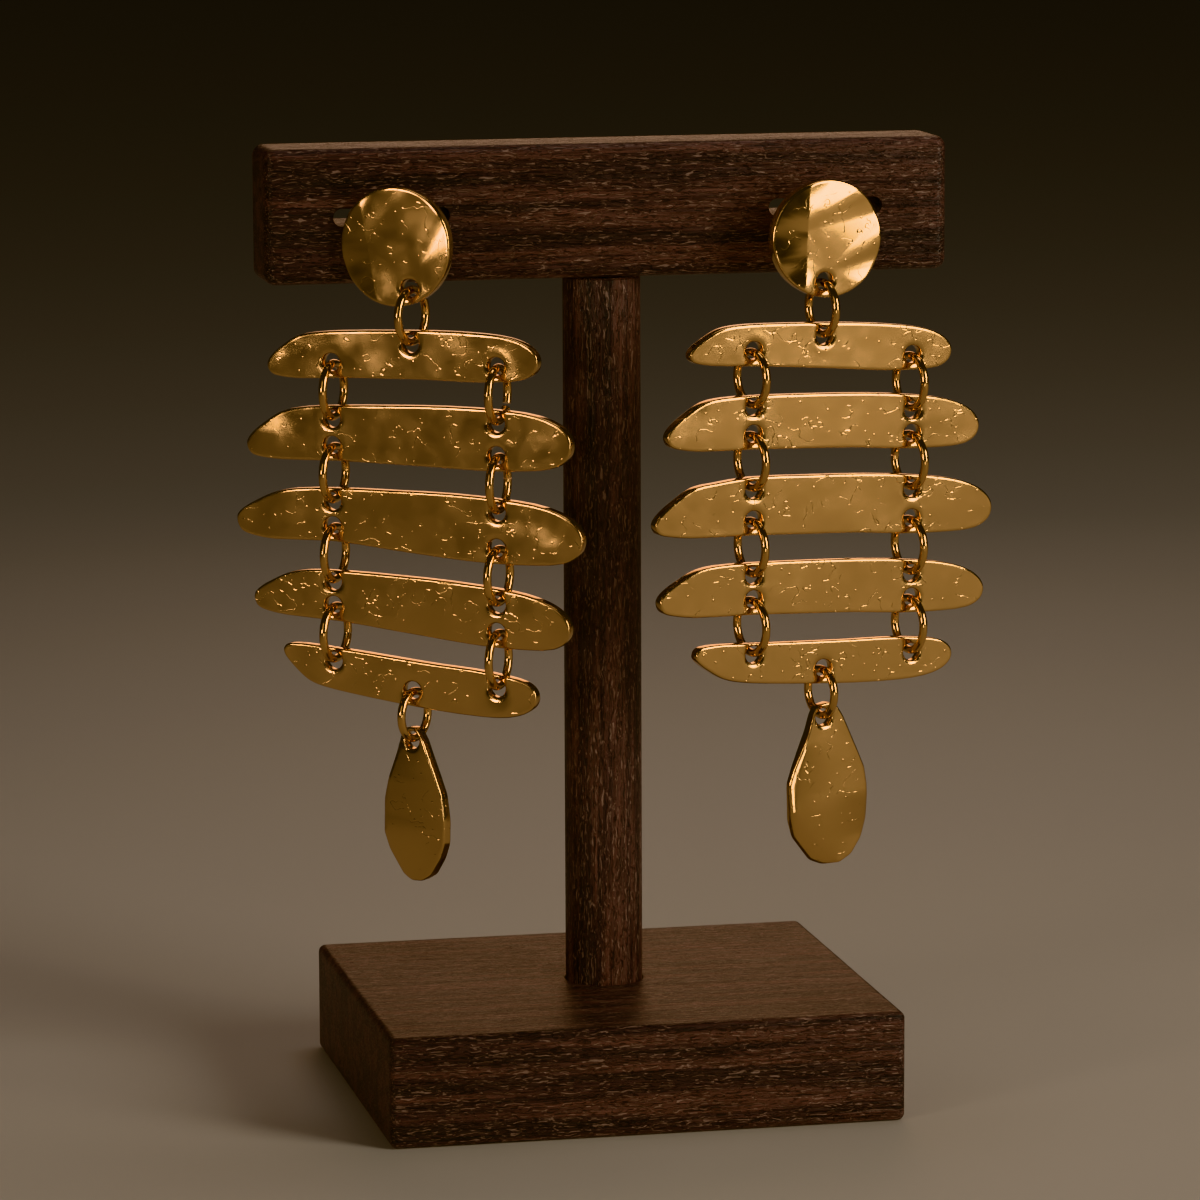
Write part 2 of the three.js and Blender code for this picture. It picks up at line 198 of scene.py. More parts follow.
def wenge(name, grain_axis):
    """Oiled wenge with its grain along one axis."""
    material, tree, shader, place = new_material(name)

    def stretched(across, along, shift):
        scale = [1 / (across * MM)] * 3
        scale[grain_axis] = 1 / (along * MM)
        feeds = {"Vector": place, "Scale": scale, "Location": (shift, shift, shift)}
        return add(tree, "ShaderNodeMapping", feeds).outputs["Vector"]

    def grain_noise(coordinates, detail, distortion=0.0):
        feeds = {"Vector": coordinates, "Scale": 1, "Detail": detail, "Roughness": 0.6}
        return add(tree, "ShaderNodeTexNoise", {**feeds, "Distortion": distortion}).outputs["Fac"]

    def mixed(factor, first, second, blend="MIX"):
        feeds = {"Factor": factor, 6: first, 7: second}
        return add(tree, "ShaderNodeMix", feeds, data_type="RGBA", blend_type=blend).outputs[2]

    bands = grain_noise(stretched(BAND_WIDTH, BAND_LENGTH, 3), 3, 0.4)
    fibres = grain_noise(stretched(FIBRE_WIDTH, FIBRE_LENGTH, 7), 2)
    crooked = add(
        tree,
        "ShaderNodeTexNoise",
        {"Vector": stretched(WANDER_WIDTH, WANDER_LENGTH, 11), "Scale": 1, "Detail": 1},
    )
    stray = add(
        tree,
        "ShaderNodeVectorMath",
        {0: crooked.outputs["Color"], 1: (0.5, 0.5, 0.5)},
        operation="SUBTRACT",
    )
    stray = add(
        tree,
        "ShaderNodeVectorMath",
        {0: stray.outputs["Vector"], "Scale": 2 * WANDER / PORE_WIDTH},
        operation="SCALE",
    )
    along_pores = add(
        tree,
        "ShaderNodeVectorMath",
        {0: stretched(PORE_WIDTH, PORE_LENGTH, 0), 1: stray.outputs["Vector"]},
        operation="ADD",
    )
    pore_field = grain_noise(along_pores.outputs["Vector"], 1)
    pores = ramp(tree, pore_field, [(0.58, grey(0)), (0.64, grey(1))])
    checks = ramp(tree, pore_field, [(0.36, grey(1)), (0.42, grey(0))])
    band_colours = [(0.3, "#1E1716"), (0.5, "#3C2C2C"), (0.62, "#624843"), (0.75, "#352828")]
    ground = ramp(tree, bands, [(stop, linear(colour)) for stop, colour in band_colours])
    fibre_tint = ramp(tree, fibres, [(0.35, grey(0.72)), (0.7, grey(1.5))])
    wood = mixed(1.0, ground, fibre_tint, "MULTIPLY")
    # The pale pore dashes are partly the pores' paler filling and partly a painted highlight for the light
    # caught in them.
    pore_pale_and_glint_share = add(tree, "ShaderNodeMath", {0: pores, 1: 0.5}, operation="MULTIPLY")
    check_share = add(tree, "ShaderNodeMath", {0: checks, 1: 0.75}, operation="MULTIPLY")
    darker = mixed(check_share.outputs[0], wood, linear("#0A0707"))
    colour = mixed(pore_pale_and_glint_share.outputs[0], darker, linear("#B8A096"))
    sunk = add(tree, "ShaderNodeMath", {0: pores, 1: checks})
    relief = add(
        tree, "ShaderNodeMath", {0: sunk.outputs[0], 1: -1.0, 2: fibres}, operation="MULTIPLY_ADD"
    )
    bump = add(
        tree, "ShaderNodeBump", {"Height": relief.outputs[0], "Strength": 1.0, "Distance": WOOD_RELIEF * MM}
    )
    sheen = ramp(tree, fibres, [(0.3, grey(0.3)), (0.7, grey(0.5))])
    tree.links.new(colour, shader.inputs["Base Color"])
    tree.links.new(sheen, shader.inputs["Roughness"])
    tree.links.new(bump.outputs["Normal"], shader.inputs["Normal"])
    shader.inputs["IOR"].default_value = 1.5
    return material


WENGE_ALONG = wenge("wenge, grain along the bar", 0)
WENGE_UPRIGHT = wenge("wenge, grain up the post", 2)
print("wood materials:", WENGE_ALONG.name, "and", WENGE_UPRIGHT.name)

# %% [markdown]
# The metal is brass sheet and wire, plated with gold and polished. A metal has no colour of its
# own under the light, only the tint of what it mirrors, so the base colour is its tint and the
# lamps and floor do the rest. Polish is never perfect: specks of the casting stand out as small
# bright dots, and handling leaves fine curled scratches. Both are low relief, so they are bump.

# %% Gold plate
SPECK_SPACING = 1.5  # mm
SPECK_SIZE = 0.13
CURL_SIZE = 2.4  # the width of the loops that the scratches follow
WORN_SIZE = 3.1  # the width of the patches where there are scratches
GOLD_RELIEF = 0.03


def gold(name, tint, roughness, specks, scratches):
    """Polished gold plate. specks and scratches are the strengths of that relief."""
    material, tree, shader, place = new_material(name)
    shader.inputs["Metallic"].default_value = 1.0
    shader.inputs["Base Color"].default_value = linear(tint)
    speck_field = add(
        tree, "ShaderNodeTexVoronoi", {"Vector": place, "Scale": 1 / (SPECK_SPACING * MM), "Randomness": 1.0}
    )
    share = SPECK_SIZE / SPECK_SPACING
    dome = [(0, grey(1)), (share, grey(0.6)), (1.4 * share, grey(0))]
    dots = ramp(tree, speck_field.outputs["Distance"], dome)
    curls = add(tree, "ShaderNodeTexNoise", {"Vector": place, "Scale": 1 / (CURL_SIZE * MM), "Detail": 1.5})
    line = ramp(tree, curls.outputs["Fac"], [(0.49, grey(0)), (0.5, grey(1)), (0.51, grey(0))])
    patches = add(tree, "ShaderNodeTexNoise", {"Vector": place, "Scale": 1 / (WORN_SIZE * MM), "Detail": 2})
    worn = ramp(tree, patches.outputs["Fac"], [(0.5, grey(0)), (0.62, grey(1))])
    scratch = add(tree, "ShaderNodeMath", {0: line, 1: worn}, operation="MULTIPLY")
    smear = add(tree, "ShaderNodeMath", {0: scratch.outputs[0], 1: -scratches}, operation="MULTIPLY")
    relief = add(
        tree, "ShaderNodeMath", {0: dots, 1: specks, 2: smear.outputs[0]}, operation="MULTIPLY_ADD"
    )
    bump = add(
        tree, "ShaderNodeBump", {"Height": relief.outputs[0], "Strength": 1.0, "Distance": GOLD_RELIEF * MM}
    )
    polish = add(
        tree,
        "ShaderNodeMapRange",
        {"Value": patches.outputs["Fac"], 1: 0.3, 2: 0.7, 3: roughness * 0.75, 4: roughness * 1.35},
    )
    tree.links.new(polish.outputs[0], shader.inputs["Roughness"])
    tree.links.new(bump.outputs["Normal"], shader.inputs["Normal"])
    return material


GOLD_SHEET = gold("gold-plated brass sheet, hammered and polished", "#D6B07E", 0.13, 1.0, 0.7)
GOLD_WIRE = gold("gold-plated brass wire, drawn and polished", "#DAB07A", 0.1, 0.0, 0.1)
print("metal materials:", GOLD_SHEET.name, "and", GOLD_WIRE.name)

# %% [markdown]
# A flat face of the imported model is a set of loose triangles. The loops of edges round such a
# face are the outline that was cut and the holes that were drilled, so these helpers find the
# face and walk its loops. Every finer piece below is built from loops read this way, which
# keeps it exactly where the model has it.

# %% Read the outlines of a flat face
def merged_copy(node):
    """A bmesh of a node with its loose triangles joined up."""
    mesh = bmesh.new()
    mesh.from_mesh(nodes[node].data)
    bmesh.ops.remove_doubles(mesh, verts=mesh.verts, dist=1e-3 * MM)
    mesh.faces.index_update()
    return mesh


def face_loops(node, facing):
    """The loops round the flat face of a node that looks one way, and how far out that face is."""
    mesh = merged_copy(node)
    looking = [face for face in mesh.faces if face.normal.dot(facing) > 0.9999]
    largest = max(looking, key=lambda face: face.calc_area())
    level = largest.calc_center_median().dot(facing)
    in_plane = [all(abs(v.co.dot(facing) - level) < 0.005 * MM for v in face.verts) for face in mesh.faces]
    following = {}
    for face in mesh.faces:
        if in_plane[face.index]:
            for loop in face.loops:
                if not any(in_plane[other.index] for other in loop.edge.link_faces if other != face):
                    following[loop.vert] = loop.link_loop_next.vert
    loops = []
    while following:
        start, here = following.popitem()
        loop = [start.co.copy()]
        while here is not start:
            loop.append(here.co.copy())
            here = following.pop(here)
        loops.append(loop)
    mesh.free()
    return sorted(loops, key=len, reverse=True), level


def finish(obj, material, node_names, body):
    """Gives a finished mesh object its material and says what it is to the frame."""
    obj.data.materials.clear()
    obj.data.materials.append(material)
    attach(obj, body)
    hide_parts(*node_names)
    print(f"{obj.name}: {sum(len(p.vertices) - 2 for p in obj.data.polygons)} triangles, rides on {body}")


def object_from(name, mesh_data):
    obj = bpy.data.objects.new(name, mesh_data)
    bpy.context.scene.collection.objects.link(obj)
    return obj


def smooth_by_angle(obj, degrees):
    """Shades a mesh smooth, with creases kept where faces meet at more than an angle."""
    obj.data.shade_smooth()
    obj.data.set_sharp_from_angle(angle=math.radians(degrees))


# %% [markdown]
# The base and crossbar are planed blocks whose edges were eased with sandpaper. A box with a
# bevelled edge gives that. The sockets and slots are cut with booleans, because they are real
# holes that the post and the ear posts go into.

# %% Base and crossbar
BASE_EDGE = 1.0  # mm, radius of the eased edges
CROSSBAR_EDGE = 1.5
EDGE_STEPS = 6
ROUND_STEPS = 48
EAST = Vector((1, 0, 0))
NORTH = Vector((0, 1, 0))


def block(name, low, high, edge):
    """A block with rounded edges between two corners."""
    mesh = bmesh.new()
    bmesh.ops.create_cube(mesh, size=1)
    bmesh.ops.scale(mesh, vec=high - low, verts=mesh.verts)
    bmesh.ops.translate(mesh, vec=(low + high) / 2, verts=mesh.verts)
    bmesh.ops.bevel(
        mesh,
        geom=mesh.edges[:],
        offset=edge * MM,
        segments=EDGE_STEPS,
        profile=0.5,
        affect="EDGES",
        clamp_overlap=True,
    )
    data = bpy.data.meshes.new(name)
    mesh.to_mesh(data)
    mesh.free()
    return object_from(name, data)


def prism(points, along):
    """A straight-sided solid from a loop of points, used as a cutter."""
    mesh = bmesh.new()
    face = mesh.faces.new([mesh.verts.new(point) for point in points])
    end = bmesh.ops.extrude_face_region(mesh, geom=[face])["geom"]
    bmesh.ops.translate(mesh, vec=along, verts=[v for v in end if isinstance(v, bmesh.types.BMVert)])
    bmesh.ops.recalc_face_normals(mesh, faces=mesh.faces[:])
    data = bpy.data.meshes.new("cutter")
    mesh.to_mesh(data)
    mesh.free()
    return object_from("cutter", data)


def cut(obj, cutter):
    """Cuts one solid out of another for good."""
    modifier = obj.modifiers.new("cut", "BOOLEAN")
    modifier.operation = "DIFFERENCE"
    modifier.object = cutter
    modifier.solver = "EXACT"
    evaluated = obj.evaluated_get(bpy.context.evaluated_depsgraph_get())
    data = bpy.data.meshes.new_from_object(evaluated)
    obj.modifiers.clear()
    obj.data = data
    bpy.data.objects.remove(cutter)


def round_ended(centre, across, upright, length, height):
    """A loop like a slot's: two straight sides and two half circles."""
    radius = height / 2
    points = []
    for end in (1, -1):
        for i in range(ROUND_STEPS // 2 + 1):
            turn = math.pi * (i / (ROUND_STEPS // 2) - 0.5)
            step_out = end * ((length / 2 - radius) + radius * math.cos(turn))
            points.append(centre + across * step_out + upright * (end * radius * math.sin(turn)))
    return points


def loop_box(loop):
    """The two corners of the box round a loop."""
    xyz = np.array(loop)
    return Vector(xyz.min(0)), Vector(xyz.max(0))


base = block("stand_base_block", *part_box("stand_base"), BASE_EDGE)
top_loops, base_top = face_loops("stand_base", UP)
bore = min(top_loops, key=lambda loop: loop_box(loop)[1].x)
bore_low, bore_high = loop_box(bore)
bore_width = bore_high.x - bore_low.x
bore_depth = base_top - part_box("stand_post")[0].z
socket = round_ended((bore_low + bore_high) / 2 + UP * MM, EAST, NORTH, bore_width, bore_width)
cut(base, prism(socket, -UP * (bore_depth + 1.2 * MM)))

bar_low, bar_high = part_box("stand_crossbar")
crossbar = block("stand_crossbar_block", bar_low, bar_high, CROSSBAR_EDGE)
front_loops, _ = face_loops("stand_crossbar", -NORTH)
slots = sorted((loop_box(loop) for loop in front_loops), key=lambda box: (box[1] - box[0]).x)[:2]
bar_mesh = merged_copy("stand_crossbar")
for slot_low, slot_high in slots:
    middle = (slot_low + slot_high) / 2
    half = (slot_high - slot_low) / 2
    reach = half + Vector((1, 1, 1)) * 0.01 * MM
    offsets = [v.co - middle for v in bar_mesh.verts]
    slot_depth = max(off.y for off in offsets if abs(off.x) < reach.x and abs(off.z) < reach.z)
    mouth = round_ended(middle - NORTH * MM, EAST, UP, 2 * half.x, 2 * half.z)
    cut(crossbar, prism(mouth, NORTH * (slot_depth + 2 * MM)))
bar_mesh.free()
print("bore", round(bore_width / MM, 2), "slots", [round((b - a).x / MM, 2) for a, b in slots], "mm long")
print("slots", round(slot_depth / MM, 2), "mm deep")

# %% [markdown]
# The post is a turned dowel with a thinner tenon glued into the crossbar. What is turned on a
# lathe is made as a lathe does it: a profile of radii and heights is swept round the axis.

# %% Post
POST_SIDES = 96
EASED = 0.25  # mm, the softened edge of a turned end
TENON_PLAY = 0.2


def lathe(name, profile, centre, axis, sides):
    """Sweeps (radius, height) pairs round an axis. The profile starts and ends on the axis."""
    mesh = bmesh.new()
    aside = axis.orthogonal().normalized()
    line = [mesh.verts.new(centre + aside * radius + axis * height) for radius, height in profile]
    edges = [mesh.edges.new(pair) for pair in zip(line, line[1:])]
    bmesh.ops.spin(mesh, geom=line + edges, cent=centre, axis=axis, angle=2 * math.pi, steps=sides)
    bmesh.ops.remove_doubles(mesh, verts=mesh.verts, dist=1e-3 * MM)
    bmesh.ops.recalc_face_normals(mesh, faces=mesh.faces[:])
    data = bpy.data.meshes.new(name)
    mesh.to_mesh(data)
    mesh.free()
    return object_from(name, data)


def cut_mortise(radius, depth):
    """The hole in the crossbar's underside for the post's tenon."""
    ring = round_ended(UP * (bar_low.z - MM), EAST, NORTH, 2 * radius, 2 * radius)
    cut(crossbar, prism(ring, UP * (depth + MM)))


post_mesh = merged_copy("stand_post")
post_rings = [(round(v.co.xy.length, 6), v.co.z) for v in post_mesh.verts]
post_mesh.free()
foot, tenon_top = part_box("stand_post")[0].z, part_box("stand_post")[1].z
shoulder = bar_low.z - TENON_PLAY * MM
post_radius = max(radius for radius, _ in post_rings)
tenon_radius = max(radius for radius, height in post_rings if height > shoulder + MM)
eased = EASED * MM
post = lathe(
    "stand_post_turned",
    [
        (0, foot),
        (post_radius - eased, foot),
        (post_radius, foot + eased),
        (post_radius, shoulder - eased),
        (post_radius - eased, shoulder),
        (tenon_radius, shoulder),
        (tenon_radius, tenon_top - eased),
        (tenon_radius - eased, tenon_top),
        (0, tenon_top),
    ],
    Vector((0, 0, 0)),
    UP,
    POST_SIDES,
)
cut_mortise(tenon_radius + TENON_PLAY * MM, tenon_top - bar_low.z + TENON_PLAY * MM)
for piece, material, node in (
    (base, WENGE_ALONG, "stand_base"),
    (crossbar, WENGE_ALONG, "stand_crossbar"),
    (post, WENGE_UPRIGHT, "stand_post"),
):
    smooth_by_angle(piece, 40)
    finish(piece, material, [node], BODY_OF[node])

# %% [markdown]
# A stud, bar or drop is a plate cut by hand from sheet, drilled, and rolled over a little along
# its edges in the polishing drum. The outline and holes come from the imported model. The face is
# then filled with small triangles: rows that follow every edge, so that the roll is truly
# round, and an even field between them that can carry the hammering. The triangles come from a
# Delaunay fill, which needs no regular grid and goes round any hole.

# %% Rows of points and the fill
SPACING = 0.3  # mm between points along an edge
FIELD_SPACING = 0.4
EDGE_ROLL = 0.24  # radius of the rolled outer edge
HOLE_ROLL = 0.28
ROLL_STEPS = 4
DISH_WIDTH = 0.7  # a drilled hole is dished this far out
DISH_DEPTH = 0.09
EDGE_BAND = 0.2  # between the roll and the even field
HOLE_BAND = 0.48  # the row between a hole's roll and its dish's rim


def resampled(loop, spacing):
    """A closed loop with evenly spaced points."""
    closed = np.vstack([loop, loop[:1]])
    travelled = np.concatenate([[0], np.cumsum(np.linalg.norm(np.diff(closed, axis=0), axis=1))])
    count = max(24, round(travelled[-1] / spacing))
    places = np.linspace(0, travelled[-1], count, endpoint=False)
    return np.column_stack([np.interp(places, travelled, closed[:, axis]) for axis in (0, 1)])


def softened(loop, reach):
    """Rounds the corners of an evenly spaced loop by averaging along it."""
    step = np.linalg.norm(loop[1] - loop[0])
    half = math.ceil(3 * reach / step)
    offsets = np.arange(-half, half + 1)
    weights = np.exp(-((offsets * step / reach) ** 2) / 2)
    weights /= weights.sum()
    return sum(weight * np.roll(loop, -offset, axis=0) for weight, offset in zip(weights, offsets))


def inset(loop, depth):
    """The loop moved inwards. The loop runs anticlockwise."""
    along = np.roll(loop, -1, axis=0) - np.roll(loop, 1, axis=0)
    along /= np.linalg.norm(along, axis=1, keepdims=True)
    return loop + depth * np.column_stack([-along[:, 1], along[:, 0]])


def distance_to_loop(points, loop):
    """How far points lie from a closed loop, whichever side they are on."""
    start, side = loop, np.roll(loop, -1, axis=0) - loop
    offset = points[:, None, :] - start[None, :, :]
    share = np.clip((offset * side).sum(2) / (side**2).sum(1), 0, 1)
    return np.linalg.norm(offset - share[..., None] * side, axis=2).min(1)


def inside_loop(points, loop):
    """Which points lie inside a closed loop, by counting crossings."""
    a, b = loop, np.roll(loop, -1, axis=0)
    x, y = points[:, :1], points[:, 1:]
    spans = (a[:, 1] > y) != (b[:, 1] > y)
    with np.errstate(divide="ignore", invalid="ignore"):
        crossing = a[:, 0] + (y - a[:, 1]) / (b[:, 1] - a[:, 1]) * (b[:, 0] - a[:, 0])
    return (spans & (x < crossing)).sum(1) % 2 == 1


def ring_of(hole, extra):
    """Points round a hole (x, y, radius), a distance outside its edge."""
    x, y, radius = hole
    count = max(24, round(2 * math.pi * radius / (0.7 * SPACING)))
    turn = np.arange(count) * 2 * math.pi / count
    return np.column_stack([x + (radius + extra) * np.cos(turn), y + (radius + extra) * np.sin(turn)])


def clear_of_holes(points, holes):
    """How far points lie outside the nearest hole's edge."""
    gaps = [np.linalg.norm(points - hole[:2], axis=1) - hole[2] for hole in holes]
    return np.min(gaps, axis=0)


def roll_rows(radius):
    """How deep the rows of a rolled edge lie inside it."""
    return [radius * (1 - math.cos(math.pi / 2 * i / ROLL_STEPS)) for i in range(1, ROLL_STEPS + 1)]


def fill(outline, holes, creases):
    """Triangles over a plate's face: their points, corners, and distances to the edge and holes."""
    fixed = [outline] + [ring_of(hole, 0) for hole in holes]
    rows = [inset(outline, depth) for depth in roll_rows(EDGE_ROLL) + [EDGE_ROLL + EDGE_BAND]]
    hole_depths = roll_rows(HOLE_ROLL) + [HOLE_BAND, DISH_WIDTH]
    hole_rows = [ring_of(hole, depth) for hole in holes for depth in hole_depths]
    low, high = outline.min(0), outline.max(0)
    columns = np.arange(low[0], high[0], FIELD_SPACING)
    levels = np.arange(low[1], high[1], FIELD_SPACING * math.sqrt(0.75))
    field = np.array([(x + FIELD_SPACING / 2 * (i % 2), y) for i, y in enumerate(levels) for x in columns])
    groups = []
    for group, edge_gap, hole_gap in (
        (np.vstack(rows), 0, 0.1),
        (np.vstack(hole_rows), 0.1, 0),
        (np.vstack(creases) if creases else None, EDGE_ROLL + 0.25, DISH_WIDTH + 0.1),
        (field, EDGE_ROLL + EDGE_BAND + 0.6 * FIELD_SPACING, DISH_WIDTH + 0.6 * FIELD_SPACING),
    ):
        if group is None:
            continue
        wanted = inside_loop(group, outline) & (distance_to_loop(group, outline) > edge_gap)
        wanted &= clear_of_holes(group, holes) > hole_gap
        if group is field and creases:
            for crease in creases:
                wanted &= distance_to_loop(group, np.vstack([crease, crease[::-1]])) > 0.5 * FIELD_SPACING
        groups.append(group[wanted])
    points = np.vstack(fixed + groups)
    edges, first = [], 0
    for loop in fixed:
        count = len(loop)
        edges += [(first + i, first + (i + 1) % count) for i in range(count)]
        first += count
    found = delaunay_2d_cdt([Vector(point) for point in points], edges, [], 0, 1e-6)
    flat = np.array([tuple(vert) for vert in found[0]])
    corners = np.array(found[2])
    middles = flat[corners].mean(1)
    kept = inside_loop(middles, outline) & (clear_of_holes(middles, holes) > -0.002)
    return flat, corners[kept], distance_to_loop(flat, outline), clear_of_holes(flat, holes)


# %% [markdown]
# The two faces of a plate are the same fill, one pushed forward and one back, and a wall joins
# them round the outline and round each hole. How far a point is pushed depends only on its
# distances to the edges, which makes the rolled edge and the dish round each hole. A front face
# can also be filed away in flat facets, or bent along a fold, given as a small function.

# %% From a fill to a plate
def rolled(distance, radius):
    """How far the surface falls away at a distance from a rolled edge."""
    short = np.clip(radius - distance, 0, radius)
    return radius - np.sqrt(radius**2 - short**2)


def dished(distance):
    """How far the surface is sunk at a distance from a drilled hole."""
    share = np.clip(1 - distance / DISH_WIDTH, 0, 1)
    return DISH_DEPTH * share**2 * (3 - 2 * share)


def plate(name, outline, holes, thickness, axes, relief=None, creases=(), liveliness=None):
    """A plate in the plane of axes (origin, right, up, facing), all in mm, as an object in metres."""
    flat, corners, to_edge, to_hole = fill(outline, holes, list(creases))
    fall = np.maximum(rolled(to_edge, EDGE_ROLL), rolled(to_hole, HOLE_ROLL)) + dished(to_hole)
    fall = np.minimum(fall, thickness * 0.45)
    front_cut = relief(flat) if relief else np.zeros((len(flat), 2))
    front = thickness / 2 - fall - front_cut[:, 0]
    back = -thickness / 2 + fall - front_cut[:, 1]
    origin, right, up, facing = axes
    spread = origin + flat[:, :1] * right + flat[:, 1:] * up
    points = np.vstack([spread + front[:, None] * facing, spread + back[:, None] * facing])
    count = len(flat)
    faces = [tuple(c) for c in corners] + [tuple(count + c[::-1]) for c in corners]
    used = {}
    for a, b, c in corners:
        for pair in ((a, b), (b, c), (c, a)):
            used[pair] = True
    for a, b in used:
        if (b, a) not in used:
            faces.append((b, a, count + a, count + b))
    data = bpy.data.meshes.new(name)
    data.from_pydata((points * MM).tolist(), [], [tuple(int(i) for i in face) for face in faces])
    data.validate()
    data.shade_smooth()
    lively = np.ones(count) if liveliness is None else liveliness(flat)
    lively = lively * np.clip((to_hole - 0.1) / 1.5, 0.15, 1)
    attribute = data.attributes.new("liveliness", "FLOAT", "POINT")
    attribute.data.foreach_set("value", np.concatenate([lively, lively]).astype(np.float32))
    return object_from(name, data)


# %% [markdown]
# Hammering leaves a sheet gently wavy. A Geometry Nodes tree does it to any plate: it looks up a
# noise at each point, leaving out the depth through the sheet so that both faces move together,
# and pushes the point along the sheet's facing. The tree has its sizes as inputs, so every
# plate gets its own waves from the same tree.

# %% The hammering tree
def hammering_tree():
    """Waves and dents pushed into a sheet along its facing."""
    tree = bpy.data.node_groups.new("hammering", "GeometryNodeTree")
    tree.interface.new_socket("Geometry", in_out="INPUT", socket_type="NodeSocketGeometry")
    for label, kind in (
        ("Facing", "NodeSocketVector"),
        ("Wave Width", "NodeSocketFloat"),
        ("Wave Height", "NodeSocketFloat"),
        ("Dent Width", "NodeSocketFloat"),
        ("Dent Height", "NodeSocketFloat"),
        ("Seed", "NodeSocketFloat"),
        ("Material", "NodeSocketMaterial"),
    ):
        tree.interface.new_socket(label, in_out="INPUT", socket_type=kind)
    tree.interface.new_socket("Geometry", in_out="OUTPUT", socket_type="NodeSocketGeometry")
    given = add(tree, "NodeGroupInput").outputs
    place = add(tree, "GeometryNodeInputPosition").outputs[0]
    depth = add(tree, "ShaderNodeVectorMath", {0: place, 1: given["Facing"]}, operation="DOT_PRODUCT")
    through = add(
        tree,
        "ShaderNodeVectorMath",
        {0: given["Facing"], "Scale": depth.outputs["Value"]},
        operation="SCALE",
    )
    flat = add(tree, "ShaderNodeVectorMath", {0: place, 1: through.outputs["Vector"]}, operation="SUBTRACT")
    moves = []
    for width, height, detail in (("Wave Width", "Wave Height", 0.0), ("Dent Width", "Dent Height", 1.0)):
        scale = add(tree, "ShaderNodeMath", {0: 1.0, 1: given[width]}, operation="DIVIDE")
        field = add(
            tree,
            "ShaderNodeTexNoise",
            {"Vector": flat.outputs[0], "W": given["Seed"], "Scale": scale.outputs[0], "Detail": detail},
            noise_dimensions="4D",
        )
        centred = add(tree, "ShaderNodeMath", {0: field.outputs[0], 1: 0.5}, operation="SUBTRACT")
        move = add(tree, "ShaderNodeMath", {0: centred.outputs[0], 1: given[height]}, operation="MULTIPLY")
        moves.append(move.outputs[0])
    total = add(tree, "ShaderNodeMath", {0: moves[0], 1: moves[1]})
    lively = add(tree, "GeometryNodeInputNamedAttribute", {"Name": "liveliness"}, data_type="FLOAT")
    scaled = add(
        tree,
        "ShaderNodeMath",
        {0: total.outputs[0], 1: lively.outputs["Attribute"]},
        operation="MULTIPLY",
    )
    push = add(
        tree,
        "ShaderNodeVectorMath",
        {0: given["Facing"], "Scale": scaled.outputs[0]},
        operation="SCALE",
    )
    moved = add(
        tree, "GeometryNodeSetPosition", {"Geometry": given["Geometry"], "Offset": push.outputs["Vector"]}
    )
    realized = add(tree, "GeometryNodeRealizeInstances", {"Geometry": moved.outputs[0]})
    finished = add(
        tree, "GeometryNodeSetMaterial", {"Geometry": realized.outputs[0], "Material": given["Material"]}
    )
    add(tree, "NodeGroupOutput", {"Geometry": finished.outputs[0]})
    return tree


HAMMERING = hammering_tree()


def through_tree(obj, tree, inputs):
    """Runs an object through a node tree and keeps the result as its plain mesh."""
    modifier = obj.modifiers.new(tree.name, "NODES")
    modifier.node_group = tree
    for item in tree.interface.items_tree:
        if item.in_out == "INPUT" and item.name in inputs:
            modifier[item.identifier] = inputs[item.name]
    bpy.context.view_layer.update()
    evaluated = obj.evaluated_get(bpy.context.evaluated_depsgraph_get())
    data = bpy.data.meshes.new_from_object(evaluated)
    obj.modifiers.clear()
    obj.data = data


# %% [markdown]
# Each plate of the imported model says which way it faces, how thick it is, and where its outline
# and holes are. Holes are told from the outline by their size. A hole's true circle runs through
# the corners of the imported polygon.

# %% Measure the plates
def plate_facing(node):
    """The way that a plate's front face looks."""
    mesh = merged_copy(node)
    front = max((face for face in mesh.faces if face.normal.y < -0.3), key=lambda face: face.calc_area())
    facing = front.normal.copy()
    mesh.free()
    facing.z = 0
    facing.normalize()
    return facing


def measured_plate(node):
    """Outline, holes, thickness and axes of a packed plate, in mm."""
    facing = plate_facing(node)
    loops, front_level = face_loops(node, facing)
    _, back_level = face_loops(node, -facing)
    thickness = (front_level + back_level) / MM
    right = UP.cross(facing)
    flat = [np.array([(p.dot(right) / MM, p.z / MM) for p in loop]) for loop in loops]
    spans = [np.ptp(loop, axis=0).max() for loop in flat]
    outer = flat[int(np.argmax(spans))]
    holes = []
    for loop in flat:
        if loop is not outer:
            middle = loop.mean(0)
            holes.append((*middle, np.linalg.norm(loop - middle, axis=1).mean()))
    x, y = outer.T
    if (x * np.roll(y, -1) - y * np.roll(x, -1)).sum() < 0:
        outer = outer[::-1]
    centre = np.array(facing) * (front_level - back_level) / 2 / MM
    return outer, holes, thickness, (centre, np.array(right), np.array(UP), np.array(facing))


SIDES = ("left", "right")
BARS = [f"{side}_bar_{i}" for side in SIDES for i in range(1, 6)]
sample = measured_plate(BARS[0])
print("a bar is", round(sample[2], 2), "mm thick, holes", [round(2 * hole[2], 2) for hole in sample[1]])

# %% [markdown]
# The bars are the calmest plates: almost flat in the middle, wavier towards their tips where the
# hammer bent them. Liveliness says how much of the hammering each point gets.

# %% Bars
BAR_SOFTENING = 0.3  # mm, how far corners of the cut outline are rounded
BAR_CALM = 0.45  # liveliness in the middle of a bar
SEEDS = {name: 1.7 * i for i, name in enumerate(BARS)}
HAMMER = {
    "left": {"Wave Width": 7.5, "Wave Height": 0.5, "Dent Width": 2.6, "Dent Height": 0.06},
    "right": {"Wave Width": 8.5, "Wave Height": 0.34, "Dent Width": 2.4, "Dent Height": 0.06},
}


